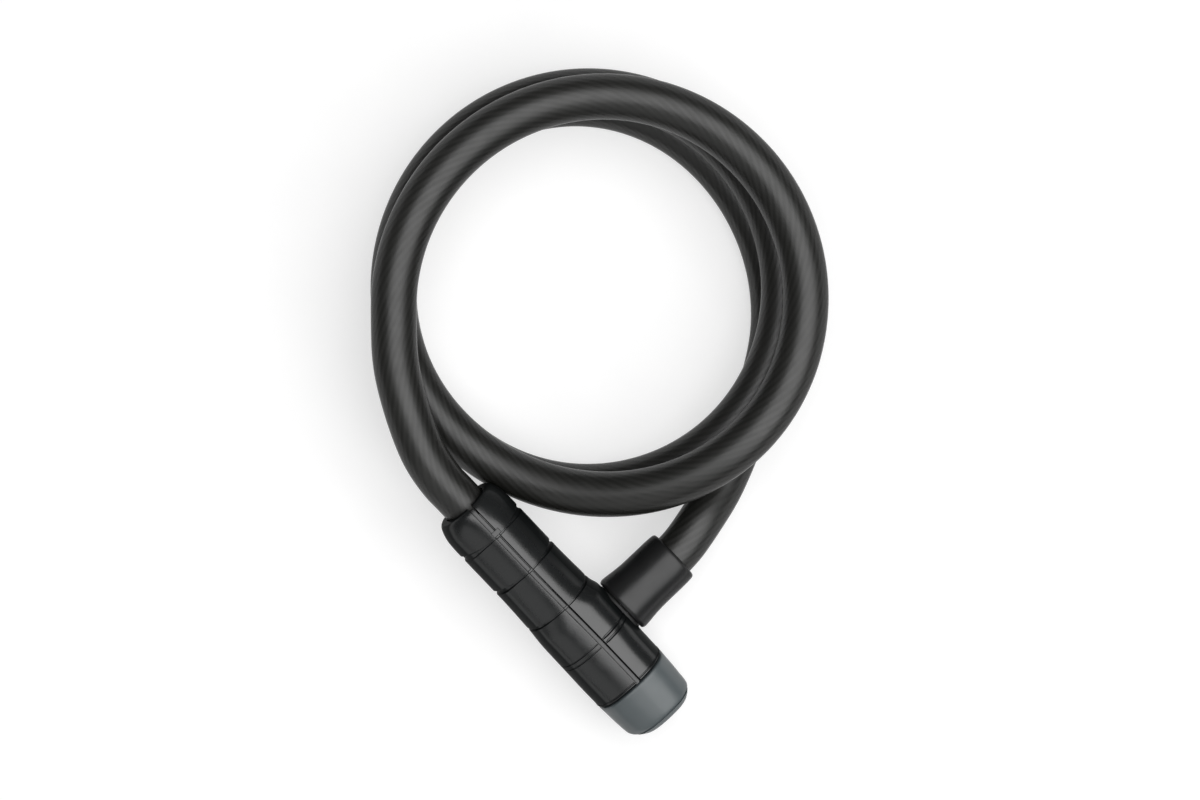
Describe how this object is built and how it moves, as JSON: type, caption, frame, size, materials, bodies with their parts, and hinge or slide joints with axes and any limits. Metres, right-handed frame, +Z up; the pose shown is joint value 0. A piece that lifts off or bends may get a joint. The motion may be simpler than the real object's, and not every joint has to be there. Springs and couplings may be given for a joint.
{
  "type": "cable lock",
  "caption": "Keyed bicycle cable lock: thick sheathed steel cable coiled in a pile, tubular lock body with a cross socket, and a ferrule bolted into it.",
  "frame": {"origin": "middle of the footprint of the lock body and its ferrule, on the surface that the lock lies on", "axes": "+Z up; seen from above with +X to the right, the coil lies behind (+Y) and the lock body runs from back left to front right"},
  "size_m": [0.1505, 0.2208, 0.0463],
  "materials": {
    "casing_plastic": "satin near-black moulded soft plastic",
    "carrier_plastic": "satin black",
    "cap_plastic": "satin blue-grey moulded plastic",
    "cable_sheath": "smoke-dark sheath over a laid steel strand",
    "ferrule_plastic": "satin grey-black moulded plastic",
    "zinc": "bare zinc casting",
    "steel": "bright zinc-plated",
    "brass": "turned",
    "seal_rubber": "matt"
  },
  "bodies": {
    "lock_body": {"casing_left": "casing_plastic", "casing_right": "casing_plastic", "carrier_tube": "carrier_plastic", "cable_anchor": "steel", "anchor_pin": "steel", "anchor_strand": "steel", "core_housing": "zinc", "latch_cover": "zinc", "plug_clip": "steel", "end_cap": "cap_plastic", "socket_seal": "seal_rubber", "cable_lock_lead": "cable_sheath", "cable_coil": "cable_sheath"},
    "ferrule": {"ferrule_bolt": "steel", "ferrule_core": "steel", "ferrule_pin": "steel", "ferrule_strand": "steel", "ferrule_sleeve": "ferrule_plastic", "cable_ferrule_lead": "cable_sheath"},
    "plug": {"key_plug": "brass"},
    "wafers": {"wafer_1": "brass", "wafer_2": "brass", "wafer_3": "brass", "wafer_4": "brass", "wafer_5": "brass"},
    "latch": {"latch": "steel"},
    "keyhole_cover": {"keyhole_cover": "cap_plastic"}
  },
  "joints": [
    {"name": "ferrule_pull", "type": "slide", "parent": "lock_body", "child": "ferrule", "axis": [0.7238, 0.6881, -0.0511], "range_m": [0, 0.022], "deforming": ["cable_ferrule_lead"]},
    {"name": "plug_turn", "type": "hinge", "parent": "lock_body", "child": "plug", "pos_m": [0.02077, -0.02366, 0.01542], "axis": [0.6646, -0.7152, -0.2164], "range_deg": [0, 90]},
    {"name": "wafer_travel", "type": "slide", "parent": "plug", "child": "wafers", "axis": [0.7238, 0.6881, -0.0511], "range_m": [0, 0.0008]},
    {"name": "latch_lift", "type": "slide", "parent": "lock_body", "child": "latch", "axis": [0.1855, -0.1227, 0.975], "range_m": [0, 0.00297]},
    {"name": "keyhole_cover_turn", "type": "hinge", "parent": "lock_body", "child": "keyhole_cover", "pos_m": [0.0314, -0.0351, 0.01195], "axis": [0.6646, -0.7152, -0.2164], "range_deg": [0, 90]}
  ],
  "couplings": [
    {"joint": "latch_lift", "follows": "plug_turn", "m_per_rad": 0.0018906}
  ]
}
